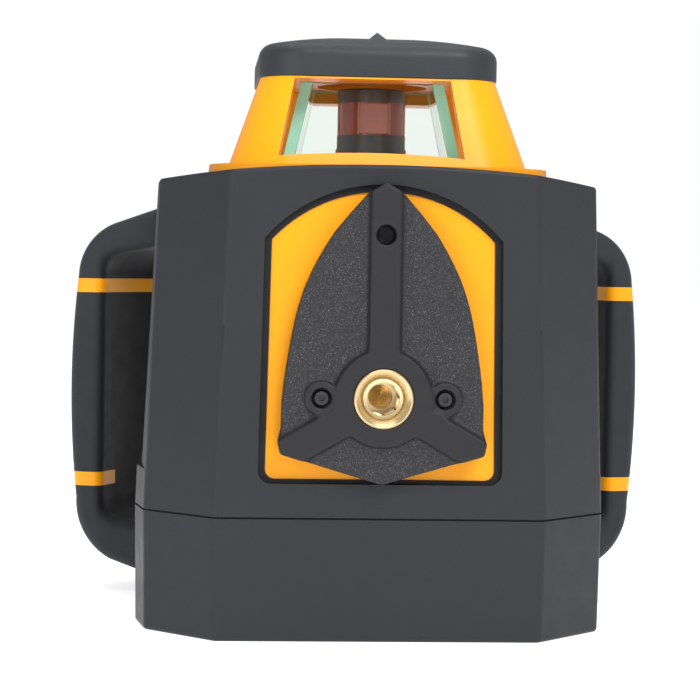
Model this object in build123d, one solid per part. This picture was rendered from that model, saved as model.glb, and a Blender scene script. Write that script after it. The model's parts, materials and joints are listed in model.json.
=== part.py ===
from build123d import *
import math
import os

os.makedirs("parts", exist_ok=True)

# Rotating laser level. Millimetres, +Z up, the mounting plate faces -Y.
# The origin is on the rotor's axis, in the plane that the base stands on.

# --- Driving dimensions -----------------------------------------------------
WALL = 3.0                 # wall of the two housings
BASE_TOP = 50.0            # top of the battery base
SEAM = 0.8                 # thickness of the gasket between base and housing
DECK_Z = 194.5             # middle of the crowned deck
DECK_CROWN = 650.0         # radius of the deck's crown across the width
HALF_DEPTH = 80.0          # front and rear faces are this far from the axis
FRONT_HALF = 67.5          # half width of the front face at the seam
FACET = 29.0               # depth and width of the front facets
SIDE_FLARE = 4.0           # the side grows this much behind the facet
SIDE_FRONT_Y = -28.0       # where the flat side starts
SIDE_REAR_Y = 32.0         # where the rear corner face starts
REAR_TAPER = 34.5          # the rear corner face comes in this much
HOUSING_DRAFT = 5.2        # the housing narrows this much from seam to deck, each side
BASE_DRAFT = 0.8           # the base narrows this much from seam to floor, each side
EDGE_R = 4.0               # radius of the upright edges
INNER_EDGE_R = 2.0         # least radius of the same edges inside

SOCKET_Z = 100.0           # height of the side socket
SOCKET_BORE_R = 6.75       # tapping radius of a 5/8"-11 thread
SOCKET_MOUTH_R = 11.0      # wide countersunk mouth of the side socket
SOCKET_MOUTH = 4.0         # and its depth
SOCKET_DRILL_R = 5.0       # pilot hole beyond the thread
SOCKET_R = 12.0            # outer radius of both brass inserts
PLATE_FRONT_Y = -90.0      # front of the plate's ribs and hub
PLATE_WEB_Y = -86.5        # front of the plate's webs
PLATE_REAR_Y = -81.0       # rear of the plate's webs
PANEL_FRONT_Y = -76.5      # front of the orange panel
PANEL_REAR_Y = -74.0       # floor of the panel's recess

LANTERN_SEAT_Z = 189.0     # floor of the lantern's seat in the deck
LANTERN_TOP = 232.0        # top of the lantern frame
SILL_Z = 200.0             # bottom of the lantern's openings
HEADER_Z = 231.2           # top of the lantern's openings
REAR_HEADER_Z = 226.5      # the rear opening stops lower
GLASS_BOTTOM = 197.5       # the panes stand in a groove in the sill
GLASS = 5.0                # thickness of a pane
CAP_TOP = 252.0            # middle of the cap's dome

GIMBAL_Z = 150.0           # height of both tilt axes
ROTOR_R = 15.0             # outer radius of the rotor's window and collar
BELT_Z = 178.5             # middle of the drive belt
MOTOR_X = 27.0             # distance from the rotor's axis to the spin motor's axis
ROTOR_PULLEY_R = 16.0
MOTOR_PULLEY_R = ROTOR_PULLEY_R / 3.0
SCREW_X = 62.5             # distance from the rotor's axis to the lead screw at the side
SCREW_Y = 58.0             # and to the one at the front

HANDLE_X = 52.0            # upright axis that the grip is curved about
HANDLE_Y = 38.0
GRIP_OUTER_R = 85.5
GRIP_INNER_R = 69.0
LEG_START_R = 28.0         # the legs start here, and the body trims them
GRIP_START = 15.3          # the grip covers these directions, in degrees
GRIP_SWEEP = 40.7
BAND_Z = (52.0, 142.0)     # middle of each band on a handle
BAND_HEIGHT = 6.4
BAND_DEPTH = 1.8           # thickness of a band's inlay
BAND_WRAP = 13.2           # the lower band turns this far round the inner side, in degrees
GRIP_EDGE_R = 5.0

TRIPOD_PLATE_R = 38.0
TRIPOD_PLATE = 4.0
TRIPOD_SCREW_RING = 30.0
CELL_R = 16.9              # D cell
CELL_LENGTH = 61.0
CELL_X = 38.5
CELL_Z = 25.0
CRADLE_Y = (-48.0, -14.0, 20.0, 54.0)  # ribs that the cells lie on
DOOR_HALF = 58.0
DOOR_BOTTOM = 6.0
HINGE_Y = 77.1             # the door's hinge pin
HINGE_Z = 42.5
DOOR_BARREL_R = 2.9
DOOR_SCREW_Z = 12.0
CHASSIS_TOP = 54.0
BOARD_Y = 62.0             # front face of the main board

STEP_Z = 67.0              # above this the sides stand back
STEP_FLARE = 2.0           # what is left of the side's growth just above the step
TOP_FLARE = 0.8            # and at the deck
RIM_R = 1.6                # radius of the deck's rim and of the base's
HOUSING_SCREWS = [(-78.0, -45.0), (78.0, -45.0), (-66.0, 58.0), (66.0, 58.0)]
HANDLE_SCREW_Z = (20.0, 168.0)
PLATE_SCREWS = [(-25.0, SOCKET_Z), (25.0, SOCKET_Z)]
RIB_FOOT = 14.5            # width of a rib where it leaves the web
RIB_TOP = 12.0
HUB_R = 19.5

LANTERN = (63.0, 24.0, 50.0, 18.0)  # half width and corner radius, bottom then top
FLANGE_HALF = 71.0         # the flange sits in the deck's seat
FLANGE_CORNER_R = 28.0
SEAT_GAP = 0.3             # round the flange in its seat
FLANGE_TOP = 194.6
SILL_CROWN = 400.0         # radius of the sills' crown
OPENING_LOW = 38.8         # half width of an opening at its bottom
OPENING_HIGH = 32.6
LANTERN_TURN = -4.0        # openings and panes are turned this much about the rotor's axis
GLASS_LOW = 37.8           # outer half width of the glass box at its bottom
GLASS_HIGH = 30.4
CEILING_BORE_R = 24.0      # recess over the rotor
CAP_HALF = 50.8
CAP_SHOULDER = 46.5
CAP_SHOULDER_Z = 244.8
CAP_DOME_R = 165.0
CAP_LAND = 4.0             # the frame's square land stands this far into the cap
SIGHT_Y = 24.0             # the two sights stand this far from the middle
CAP_SCREW_RING = 30.0      # the cap screws go up through the lantern's ceiling
CAP_SCREW_R = 1.25

WINDOW_LOW = 210.0
WINDOW_HIGH = 224.0
ROTOR_TOP = 230.0
RING_INNER = 38.0          # gimbal ring
RING_OUTER = 45.0
RING_HALF = 5.0
POST_X = 52.0              # posts that carry the gimbal's outer pins
PIN_R = 2.5
TUBE_R = 18.0              # laser platform's tube
FLANGE_Z = 171.0           # underside of the platform's motor flange
BEARING_R = 11.0
SHAFT_R = 6.0
MODULE_R = 14.0
LEAD_R = 2.0
ARM_EYE_R = 4.8            # the platform's arm clears its lead screw at full tilt
DRIVES = [(-SCREW_X, 0.0), (0.0, -SCREW_Y)]
NUT_TOP = {"tilt_x_nut": GIMBAL_Z - 5.5, "tilt_y_nut": GIMBAL_Z + 8.0}

CONTROL_HALF = 52.0        # half width of the control panel
CONTROL_LOW = 112.0
CONTROL_HIGH = 162.0
KEY_R = 6.0
KEYS = {
    "power_key": (-38.0, 134.0), "speed_key": (-16.0, 143.0), "scan_key": (-16.0, 125.0),
    "tilt_key": (3.0, 134.0), "arrow_left_key": (22.0, 134.0), "arrow_right_key": (39.0, 134.0),
}
LIGHTS = [(x, 155.5) for x in (-38.0, -16.0, 3.0, 30.5)]


# --- Helpers ----------------------------------------------------------------
def block(x0, x1, y0, y1, z0, z1):
    """A box between two corners."""
    centre = Pos((x0 + x1) / 2, (y0 + y1) / 2, (z0 + z1) / 2)
    return centre * Box(abs(x1 - x0), abs(y1 - y0), abs(z1 - z0))


def rod_z(radius, z0, z1, x=0.0, y=0.0):
    """An upright cylinder."""
    return Pos(x, y, (z0 + z1) / 2) * Cylinder(radius, z1 - z0)


def rod_y(radius, y0, y1, x=0.0, z=0.0):
    """A cylinder along Y."""
    return Pos(x, (y0 + y1) / 2, z) * Rot(90, 0, 0) * Cylinder(radius, abs(y1 - y0))


def rod_x(radius, x0, x1, y=0.0, z=0.0):
    """A cylinder along X."""
    return Pos((x0 + x1) / 2, y, z) * Rot(0, 90, 0) * Cylinder(radius, abs(x1 - x0))


def tube_z(outer, inner, z0, z1, x=0.0, y=0.0):
    """An upright tube."""
    return rod_z(outer, z0, z1, x, y) - rod_z(inner, z0 - 1, z1 + 1, x, y)


def rounded_square(half, radius, z):
    """A square face with round corners, level, at height z."""
    return Pos(0, 0, z) * RectangleRounded(2 * half, 2 * half, radius)


def frustum(half0, r0, z0, half1, r1, z1):
    """A rounded square that tapers from z0 to z1."""
    return loft([rounded_square(half0, r0, z0), rounded_square(half1, r1, z1)], ruled=True)


def front_solid(outline, y0, y1):
    """Thickens an outline drawn in X and Z into a plate between y0 and y1."""
    face = Plane.XZ * outline
    return Pos(0, y1, 0) * extrude(face, y1 - y0)


def ring_spots(radius, count, start=45.0):
    """Points evenly spaced on a circle about the rotor's axis."""
    angles = [math.radians(start + 360.0 * i / count) for i in range(count)]
    return [(radius * math.cos(a), radius * math.sin(a)) for a in angles]


def save(node, *solids):
    """Writes one node, which may be a group of separate solids."""
    found = [solid for shape in solids for solid in shape.solids()]
    whole = found[0] if len(found) == 1 else Compound(children=found)
    export_step(whole, f"parts/{node}.step")


# --- Outlines ---------------------------------------------------------------
def inset_corners(points, inset):
    """Moves each side of a convex outline inwards by the same distance."""
    turned = sum(a[0] * b[1] - b[0] * a[1] for a, b in zip(points, points[1:] + points[:1]))
    sign = 1 if turned > 0 else -1
    lines = []
    for (x0, y0), (x1, y1) in zip(points, points[1:] + points[:1]):
        length = math.hypot(x1 - x0, y1 - y0)
        nx, ny = -sign * (y1 - y0) / length, sign * (x1 - x0) / length
        lines.append((nx, ny, nx * x0 + ny * y0 + inset))
    corners = []
    for (a, b, c), (d, e, f) in zip(lines[-1:] + lines[:-1], lines):
        det = a * e - b * d
        corners.append(((c * e - b * f) / det, (a * f - c * d) / det))
    return corners


def lower_flare(z):
    """The side's growth behind the facet, below the step: the same at every height."""
    return SIDE_FLARE


def upper_flare(z):
    """The side's growth behind the facet, above the step."""
    return STEP_FLARE + (TOP_FLARE - STEP_FLARE) * (z - STEP_Z) / (DECK_Z - STEP_Z)


def body_outline(narrowing, inset, z, flare=SIDE_FLARE):
    """The ten-sided plan of the body, narrowed on each side, with a wall's inset."""
    front = FRONT_HALF - narrowing
    facet = front + FACET
    side = facet + flare
    rear = side - REAR_TAPER
    right = [(front, -HALF_DEPTH), (facet, FACET - HALF_DEPTH), (side, SIDE_FRONT_Y)]
    right += [(side, SIDE_REAR_Y), (rear, HALF_DEPTH)]
    left = [(-x, y) for x, y in reversed(right)]
    plan = Polygon(*inset_corners(right + left, inset), align=None)
    return Pos(0, 0, z) * fillet(plan.vertices(), max(EDGE_R - inset, INNER_EDGE_R))


def housing_core(inset, z0, z1, flare=lower_flare):
    """Solid of the main housing's shape between two heights."""
    slope = HOUSING_DRAFT / (DECK_Z - BASE_TOP)
    faces = [body_outline(slope * (z - BASE_TOP), inset, z, flare(z)) for z in (z0, z1)]
    return loft(faces, ruled=True)


def base_core(inset, z0, z1):
    """Solid of the base's shape between two heights."""
    slope = BASE_DRAFT / BASE_TOP
    faces = [body_outline(slope * (BASE_TOP - z), inset, z) for z in (z0, z1)]
    return loft(faces, ruled=True)


def arch_outline(bottom_half, top_half, z0, z_shoulder, z_top, radius):
    """An upright plate's outline: a flat bottom, tapered sides and an arched top."""
    sides = Polyline((-top_half, z_shoulder), (-bottom_half, z0), (bottom_half, z0),
                     (top_half, z_shoulder))
    arch = ThreePointArc((top_half, z_shoulder), (0, z_top), (-top_half, z_shoulder))
    face = make_face([*sides.edges(), arch])
    return fillet(face.vertices().sort_by(Axis.Y)[0:2], radius)


def corner_rod(side, radius, z, reach_in, reach_out):
    """A level rod through the middle of a rear corner face, square to it."""
    middle_x = FRONT_HALF + FACET - REAR_TAPER / 2
    middle_y = (SIDE_REAR_Y + HALF_DEPTH) / 2
    turn = math.degrees(math.atan2(REAR_TAPER, HALF_DEPTH - SIDE_REAR_Y))
    rod = Pos((reach_out - reach_in) / 2, 0, 0) * Rot(0, 90, 0) * Cylinder(radius, reach_in + reach_out)
    placed = Pos(middle_x, middle_y, z) * Rot(0, 0, turn) * rod
    return placed if side > 0 else mirror(placed, Plane.YZ)


# --- Housings ---------------------------------------------------------------
BORDER = arch_outline(50.0, 48.5, 64.5, 164.0, 186.5, 5.5)
PANEL = arch_outline(47.0, 45.5, 66.3, 163.6, 183.6, 4.0)
BACKING = arch_outline(53.0, 51.5, 61.0, 165.0, 188.5, 5.5)


def make_main_housing():
    lower = housing_core(0, BASE_TOP + SEAM, STEP_Z)
    upper = housing_core(0, STEP_Z, DECK_Z, upper_flare)
    crown = Pos(0, 0, DECK_Z - DECK_CROWN) * Rot(90, 0, 0) * Cylinder(DECK_CROWN, 4 * HALF_DEPTH)
    upper = upper & crown
    upper = fillet(upper.faces().sort_by(Axis.Z)[-1].edges(), RIM_R)
    hollow = housing_core(WALL, BASE_TOP, DECK_Z - 10, upper_flare)
    backing = front_solid(BACKING, -HALF_DEPTH + 1, -70.0) & housing_core(1, STEP_Z - 10, DECK_Z - 7)
    housing = lower + upper - hollow + backing
    for x, y in HOUSING_SCREWS:
        housing += rod_z(5.0, CHASSIS_TOP, CHASSIS_TOP + 18, x, y)
        web = block(x, math.copysign(100, x), y - 2, y + 2, CHASSIS_TOP, CHASSIS_TOP + 12)
        housing += web & housing_core(1, BASE_TOP, STEP_Z, upper_flare)
        housing -= rod_z(1.7, BASE_TOP, CHASSIS_TOP + 14, x, y)
    housing -= front_solid(BORDER, -HALF_DEPTH - 1, PANEL_REAR_Y)
    housing -= rod_y(12.6, -90, -60, 0, SOCKET_Z)
    for x, z in PLATE_SCREWS:
        housing -= rod_y(1.5, -90, -60, x, z)
    seat = rounded_square(FLANGE_HALF + SEAT_GAP, FLANGE_CORNER_R + SEAT_GAP, LANTERN_SEAT_Z)
    housing -= extrude(seat, 10)
    housing -= rod_z(26.0, DECK_Z - 20, DECK_Z + 1)
    housing -= block(-CONTROL_HALF - 0.2, CONTROL_HALF + 0.2, HALF_DEPTH - 1.5, HALF_DEPTH + 1,
                     CONTROL_LOW - 0.2, CONTROL_HIGH + 0.2)
    housing -= block(4 - CONTROL_HALF, CONTROL_HALF - 4, HALF_DEPTH - 5, HALF_DEPTH,
                     CONTROL_LOW + 4, CONTROL_HIGH - 4)
    for side in (-1, 1):
        housing -= corner_rod(side, 2.2, HANDLE_SCREW_Z[1], 20, 4)
    return housing


def make_base_housing():
    shell = base_core(0, 0, BASE_TOP)
    shell = fillet(shell.faces().sort_by(Axis.Z)[0].edges(), RIM_R)
    shell -= base_core(WALL, WALL, BASE_TOP + 1)
    shell += rod_z(TRIPOD_PLATE_R + 3, 1, 7.5)
    shell += rod_z(17.0, 1, 24.0)
    shell -= rod_z(TRIPOD_PLATE_R + 0.1, -1, TRIPOD_PLATE)
    shell -= rod_z(SOCKET_R, -1, 30)
    for x, y in ring_spots(TRIPOD_SCREW_RING, 4):
        shell -= rod_z(1.5, -1, 7, x, y)
    for x, y in HOUSING_SCREWS:
        shell += rod_z(5.0, 1, BASE_TOP, x, y)
        shell -= rod_z(1.8, -1, BASE_TOP + 1, x, y)
        shell -= rod_z(3.2, -1, 6, x, y)
    shell -= block(-DOOR_HALF - 0.4, DOOR_HALF + 0.4, HALF_DEPTH - 8, HALF_DEPTH + 1,
                   DOOR_BOTTOM - 0.4, HINGE_Z + DOOR_BARREL_R + 0.9)
    for side in (-1, 1):
        for y in CRADLE_Y:
            seat = block(side * 42, side * 53, y - 2, y + 2, WALL - 1, 17)
            shell += seat - rod_y(CELL_R + 0.2, y - 5, y + 5, side * CELL_X, CELL_Z)
    shell += block(-8, 8, 70, 74.5, 2, 18)
    shell -= rod_y(3.5, 69, 75, 0, DOOR_SCREW_Z)
    for side in (-1, 1):
        shell -= corner_rod(side, 2.2, HANDLE_SCREW_Z[0], 20, 4)
        ends = (side * (DOOR_HALF - 2), side * (DOOR_HALF + 5))
        shell += rod_x(3.4, side * (DOOR_HALF + 0.4), ends[1], HINGE_Y - 1, HINGE_Z)
        shell -= rod_x(1.5, *ends, HINGE_Y, HINGE_Z)
    return shell


def make_seam_gasket():
    ring = body_outline(0, 1.0, BASE_TOP) - body_outline(0, WALL, BASE_TOP)
    return extrude(ring, SEAM)


def make_housing_screws():
    screws = []
    for x, y in HOUSING_SCREWS:
        screws.append(rod_z(3.0, 2.5, 6, x, y) + rod_z(1.7, 6, CHASSIS_TOP + 12, x, y))
    return screws


# --- Front panel and mounting plate -----------------------------------------
def make_front_panel():
    panel = front_solid(PANEL, PANEL_FRONT_Y, PANEL_REAR_Y)
    panel -= rod_y(12.6, -90, -60, 0, SOCKET_Z)
    for x, z in PLATE_SCREWS:
        panel -= rod_y(1.8, -90, -60, x, z)
    return panel


def make_panel_gasket():
    gasket = front_solid(BORDER, PANEL_FRONT_Y - 0.8, PANEL_REAR_Y)
    return gasket - front_solid(PANEL, -90, -60)


def plate_outline():
    """Half of the plate's outline is drawn and mirrored; x and height above the socket."""
    half = [(0, 87.0), (7.1, 82.8), (14.0, 75.0), (20.5, 67.0), (32.8, 43.0), (38.3, 19.0),
            (40.8, -1.0), (41.0, -12.4)]
    edge = Spline(*half[3:], tangents=[(0.55, -0.84), (0, -1)])
    shoulder = Polyline(*half[:4])
    rib_end = Polyline(half[-1], (42.4, -17.5), (41.3, -22.8), (34.5, -24.8), (0, -35.1))
    edges = [*shoulder.edges(), edge, *rib_end.edges()]
    mirrored = [mirror(e, Plane.YZ) for e in edges]
    return Pos(0, SOCKET_Z) * make_face([*edges, *mirrored])


def rib(angle, length):
    """One rib of the plate, with sloped flanks, from the hub outwards."""
    foot = Pos(length / 2, 0, 0) * Rectangle(length, RIB_FOOT)
    top = Pos(length / 2, 0, PLATE_WEB_Y - PLATE_FRONT_Y) * Rectangle(length - 1, RIB_TOP)
    bar = loft([foot, top], ruled=True)
    return Pos(0, PLATE_WEB_Y, SOCKET_Z) * Rot(90, 0, 0) * Rot(0, 0, angle) * bar


def make_mount_plate():
    outline = plate_outline()
    plate = front_solid(outline, PLATE_WEB_Y, PLATE_REAR_Y)
    ribs = rib(90, 90) + rib(-30, 60) + rib(210, 60)
    ribs &= front_solid(outline, PLATE_FRONT_Y, PLATE_WEB_Y)
    plate += ribs
    hub = Pos(0, PLATE_WEB_Y, SOCKET_Z) * Rot(90, 0, 0) * Cone(
        HUB_R + 1, HUB_R, PLATE_WEB_Y - PLATE_FRONT_Y, align=(Align.CENTER, Align.CENTER, Align.MIN))
    plate += hub
    plate += rod_y(17.0, PLATE_REAR_Y, PANEL_FRONT_Y, 0, SOCKET_Z)
    for x, z in PLATE_SCREWS:
        plate += rod_y(7.0, PLATE_WEB_Y - 2.5, PANEL_FRONT_Y, x, z)
        plate -= rod_y(4.05, -92, PLATE_WEB_Y + 1.5, x, z)
        plate -= rod_y(1.8, -92, -70, x, z)
    plate -= rod_y(SOCKET_R, -92, -70, 0, SOCKET_Z)
    plate -= rod_y(4.0, -92, -82.5, 0, SOCKET_Z + 66)
    return plate


def make_side_socket():
    """Brass insert: a flanged bush with a tapped blind hole."""
    socket = rod_y(SOCKET_R, PLATE_FRONT_Y - 0.5, -66, 0, SOCKET_Z)
    socket -= rod_y(SOCKET_BORE_R, -92, -72, 0, SOCKET_Z)
    mouth = Cone(SOCKET_MOUTH_R, SOCKET_BORE_R, SOCKET_MOUTH)
    socket -= Pos(0, PLATE_FRONT_Y - 0.5 + SOCKET_MOUTH / 2, SOCKET_Z) * Rot(-90, 0, 0) * mouth
    socket -= rod_y(SOCKET_DRILL_R, -73, -70, 0, SOCKET_Z)
    drill_tip = Cone(SOCKET_DRILL_R, 0.5, 2.6)
    socket -= Pos(0, -70 + 1.3, SOCKET_Z) * Rot(-90, 0, 0) * drill_tip
    return socket


def make_plate_screws():
    screws = []
    for x, z in PLATE_SCREWS:
        head = rod_y(2.75, PLATE_WEB_Y - 1.5, PLATE_WEB_Y + 1.5, x, z)
        key = extrude(Plane.XZ * Pos(x, z) * RegularPolygon(1.45, 6), 1.6)
        head -= Pos(0, PLATE_WEB_Y + 0.1, 0) * key
        screws.append(head + rod_y(1.5, PLATE_WEB_Y + 1.5, -70.5, x, z))
    return screws


# --- Lantern and cap --------------------------------------------------------
def wedge(half_low, half_high, z0, z1, reach):
    """An upright slab along Y, as wide as an opening and tapering with it."""
    faces = [Pos(0, 0, z) * Rectangle(2 * half, 2 * reach) for half, z in ((half_low, z0), (half_high, z1))]
    return loft(faces, ruled=True)


def glass_box(inset):
    """The four-sided pyramid that the panes' outer faces lie on, less an inset."""
    faces = [Pos(0, 0, z) * Rectangle(2 * (half - inset), 2 * (half - inset))
             for half, z in ((GLASS_LOW, GLASS_BOTTOM), (GLASS_HIGH, HEADER_Z))]
    return loft(faces, ruled=True)


def make_lantern_frame():
    base = rounded_square(FLANGE_HALF, FLANGE_CORNER_R, LANTERN_SEAT_Z)
    flange = extrude(base, FLANGE_TOP - LANTERN_SEAT_Z)
    low, low_r, high, high_r = LANTERN
    frame = flange + frustum(low, low_r, FLANGE_TOP, high, high_r, LANTERN_TOP)
    frame += extrude(rounded_square(38.0, 11.0, LANTERN_TOP), CAP_LAND)
    opening = wedge(OPENING_LOW, OPENING_HIGH, SILL_Z - 3, HEADER_Z, 100)
    opening -= Pos(0, 0, SILL_Z - SILL_CROWN) * Rot(90, 0, 0) * Cylinder(SILL_CROWN, 300)
    rear_header = block(-60, 60, GLASS_HIGH + 1.0, 80, REAR_HEADER_Z, HEADER_Z)
    turn = Rot(0, 0, LANTERN_TURN)
    frame -= turn * (opening - rear_header)
    frame -= turn * Rot(0, 0, 90) * opening
    frame -= rod_z(26.0, LANTERN_SEAT_Z - 1, SILL_Z + 1)
    frame -= rod_z(CEILING_BORE_R, HEADER_Z - 1, LANTERN_TOP + 2)
    frame -= turn * (glass_box(-0.05) - glass_box(GLASS + 0.05))
    for x, y in ring_spots(CAP_SCREW_RING, 4):
        frame -= rod_z(CAP_SCREW_R + 0.1, HEADER_Z - 1, LANTERN_TOP + 5, x, y)
        frame -= rod_z(2.2, HEADER_Z - 1, HEADER_Z + 1.6, x, y)
    return frame


def make_panes():
    """Two side panes, and two end panes that fit between them."""
    box = glass_box(0) - glass_box(GLASS)
    lengthways = wedge(GLASS_LOW - GLASS, GLASS_HIGH - GLASS, GLASS_BOTTOM, HEADER_Z, 100)
    turn = Rot(0, 0, LANTERN_TURN)
    return turn * (box - lengthways), turn * (box & lengthways)


def make_top_cap():
    cap = extrude(rounded_square(CAP_HALF, 20.0, LANTERN_TOP), 8.0)
    cap += frustum(CAP_HALF, 20.0, LANTERN_TOP + 8.0, CAP_SHOULDER, 17.0, CAP_SHOULDER_Z)
    cap += extrude(rounded_square(CAP_SHOULDER, 17.0, CAP_SHOULDER_Z), 10)
    cap &= Pos(0, 0, CAP_TOP - CAP_DOME_R) * Sphere(CAP_DOME_R)
    for side in (-1, 1):
        feet = [Pos(0, side * SIGHT_Y, CAP_TOP - 2) * Rectangle(9.5, 9.5)]
        feet.append(Pos(0, side * SIGHT_Y, CAP_TOP + 1.4) * Rectangle(1.0, 1.0))
        cap += loft(feet, ruled=True)
    cap -= extrude(rounded_square(CAP_HALF - 12.6, 11.6, LANTERN_TOP - 1), 9)
    for x, y in ring_spots(CAP_SCREW_RING, 4):
        cap += rod_z(4.0, LANTERN_TOP + CAP_LAND + 0.05, LANTERN_TOP + 9, x, y)
        cap -= rod_z(CAP_SCREW_R, LANTERN_TOP, LANTERN_TOP + 10.5, x, y)
    return cap


def make_cap_screws():
    screws = []
    for x, y in ring_spots(CAP_SCREW_RING, 4):
        screw = rod_z(2.0, HEADER_Z + 0.1, HEADER_Z + 1.6, x, y)
        screw += rod_z(CAP_SCREW_R, HEADER_Z + 1.6, LANTERN_TOP + 10, x, y)
        screw -= block(x - 1.4, x + 1.4, y - 0.3, y + 0.3, HEADER_Z, HEADER_Z + 0.7)
        screws.append(screw)
    return screws


# --- Handles ----------------------------------------------------------------
def grip_profile():
    """The C-shaped section of a handle: distance from its upright axis, and height."""
    start = LEG_START_R
    top = Line((start, 184.0), (64.0, 171.5))
    top_bend = ThreePointArc((64.0, 171.5), (76.5, 163.0), (82.5, 147.0))
    bulge = ThreePointArc((82.5, 147.0), (GRIP_OUTER_R, 95.0), (82.5, 43.0))
    low_bend = ThreePointArc((82.5, 43.0), (77.0, 24.0), (66.0, 14.5))
    bottom = Line((66.0, 14.5), (start, 2.0))
    inside = FilletPolyline((start, 30.0), (GRIP_INNER_R, 34.0), (GRIP_INNER_R, 156.0), (start, 163.5),
                            radius=10)
    ends = [Line((start, 2.0), (start, 30.0)), Line((start, 163.5), (start, 184.0))]
    return make_face([top, top_bend, bulge, low_bend, bottom, *inside.edges(), *ends])


def band_core(z):
    """The part of the grip that a band goes round, at height z."""
    radii = (GRIP_INNER_R + BAND_DEPTH, 83.0 - BAND_DEPTH)
    section = Pos(sum(radii) / 2, z) * Rectangle(radii[1] - radii[0], 2 * BAND_HEIGHT)
    turn = math.degrees(BAND_DEPTH / GRIP_INNER_R)
    core = Rot(0, 0, GRIP_START + turn) * revolve(Plane.XZ * section, Axis.Z, GRIP_SWEEP - 2 * turn)
    return Pos(HANDLE_X, HANDLE_Y, 0) * core


def band_gap(z):
    """The middle of the grip's inner side, which the lower band leaves open."""
    radii = (GRIP_INNER_R - 2 * BAND_DEPTH, GRIP_INNER_R + BAND_DEPTH + 0.01)
    section = Pos(sum(radii) / 2, z) * Rectangle(radii[1] - radii[0], 2 * BAND_HEIGHT)
    gap = Rot(0, 0, GRIP_START + BAND_WRAP) * revolve(Plane.XZ * section, Axis.Z, GRIP_SWEEP - 2 * BAND_WRAP)
    return Pos(HANDLE_X, HANDLE_Y, 0) * gap


def make_handle(side):
    section = Plane.XZ * grip_profile()
    grip = Rot(0, 0, GRIP_START) * revolve(section, Axis.Z, GRIP_SWEEP)
    rims = [edge for face in grip.faces().filter_by(GeomType.PLANE) for edge in face.edges()
            if math.hypot(edge.center().X, edge.center().Y) > LEG_START_R + 1]
    grip = fillet(rims, GRIP_EDGE_R)
    grip = Pos(HANDLE_X, HANDLE_Y, 0) * grip
    grip -= housing_core(-0.05, BASE_TOP - 0.05, STEP_Z)
    grip -= housing_core(-0.05, STEP_Z, DECK_Z, upper_flare)
    grip -= base_core(-0.05, 0, BASE_TOP)
    bands = []
    for z in BAND_Z:
        slab = rod_z(GRIP_OUTER_R + 5, z - BAND_HEIGHT / 2, z + BAND_HEIGHT / 2, HANDLE_X, HANDLE_Y)
        ring = (grip & slab) - band_core(z)
        if z == BAND_Z[0]:
            ring -= band_gap(z)
        bands.append(ring)
        grip -= ring
    for z in HANDLE_SCREW_Z:
        grip -= corner_rod(1, 1.5, z, 20, 12)
    if side < 0:
        return mirror(grip, Plane.YZ), [mirror(band, Plane.YZ) for band in bands]
    return grip, bands


def make_handle_screws():
    """Screws from inside the housings into the handles' legs."""
    screws = []
    for side in (-1, 1):
        for z, back in zip(HANDLE_SCREW_Z, (4.6, 9.0)):
            shank = corner_rod(side, 1.5, z, back, 10)
            screws.append(shank + corner_rod(side, 3.2, z, back + 2, -back))
    return screws


# --- Tripod mount and base fittings ------------------------------------------
def make_tripod_plate():
    plate = tube_z(TRIPOD_PLATE_R, SOCKET_R, 0, TRIPOD_PLATE)
    for x, y in ring_spots(TRIPOD_SCREW_RING, 4):
        plate -= rod_z(1.7, -1, 5, x, y)
        plate -= Pos(x, y, 0.9) * Cone(3.2, 1.6, 1.9)
    return plate


def make_tripod_socket():
    """Brass tripod bush, tapped right through so that the plumb beam can pass."""
    return tube_z(SOCKET_R, SOCKET_BORE_R, 0, 20.0)


def make_tripod_plate_screws():
    screws = []
    for x, y in ring_spots(TRIPOD_SCREW_RING, 4):
        screw = Pos(x, y, 1.0) * Cone(2.9, 1.5, 1.5) + rod_z(1.5, 1.5, 6.5, x, y)
        screw -= block(x - 2, x + 2, y - 0.3, y + 0.3, 0, 0.9)
        screws.append(screw)
    return screws


def make_plumb_window():
    return rod_z(11.9, 20.2, 22.5)


def cell_places():
    """Middle of each battery cell, in two columns of two."""
    return [(side * CELL_X, 6.0 + step * (CELL_LENGTH + 0.5)) for side in (-1, 1) for step in (-0.5, 0.5)]


def make_battery_cells():
    cells = []
    for x, y in cell_places():
        half = CELL_LENGTH / 2
        can = rod_y(CELL_R, y - half, y + half - 1.5, x, CELL_Z)
        cells.append(can + rod_y(4.7, y + half - 1.5, y + half, x, CELL_Z))
    return cells


def make_battery_contacts():
    front_y = 6.0 - CELL_LENGTH - 0.6
    contacts = []
    for side in (-1, 1):
        plate = block(side * CELL_X - 9, side * CELL_X + 9, front_y - 1, front_y, 10, 40)
        bracket = block(side * CELL_X - 9, side * CELL_X + 9, front_y - 8, front_y - 1, 38, 40)
        contacts.append(plate + bracket)
    return contacts


def make_battery_door():
    door = block(-DOOR_HALF, DOOR_HALF, HALF_DEPTH - 3, HALF_DEPTH, DOOR_BOTTOM, HINGE_Z)
    door += rod_x(DOOR_BARREL_R, -DOOR_HALF, DOOR_HALF, HINGE_Y, HINGE_Z)
    door += rod_y(8.0, 74.9, 78, 0, DOOR_SCREW_Z + 3) & block(-9, 9, 70, 80, DOOR_BOTTOM, 40)
    door -= rod_x(1.55, -DOOR_HALF - 1, DOOR_HALF + 1, HINGE_Y, HINGE_Z)
    door -= rod_y(6.3, HALF_DEPTH - 2.6, HALF_DEPTH + 1, 0, DOOR_SCREW_Z)
    door -= rod_y(2.15, 70, 81, 0, DOOR_SCREW_Z)
    for side in (-1, 1):
        for step in range(4):
            x = side * (24 + 7 * step)
            door -= block(x - 1.5, x + 1.5, HALF_DEPTH - 0.8, HALF_DEPTH + 1, 12, 34)
    return door


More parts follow.
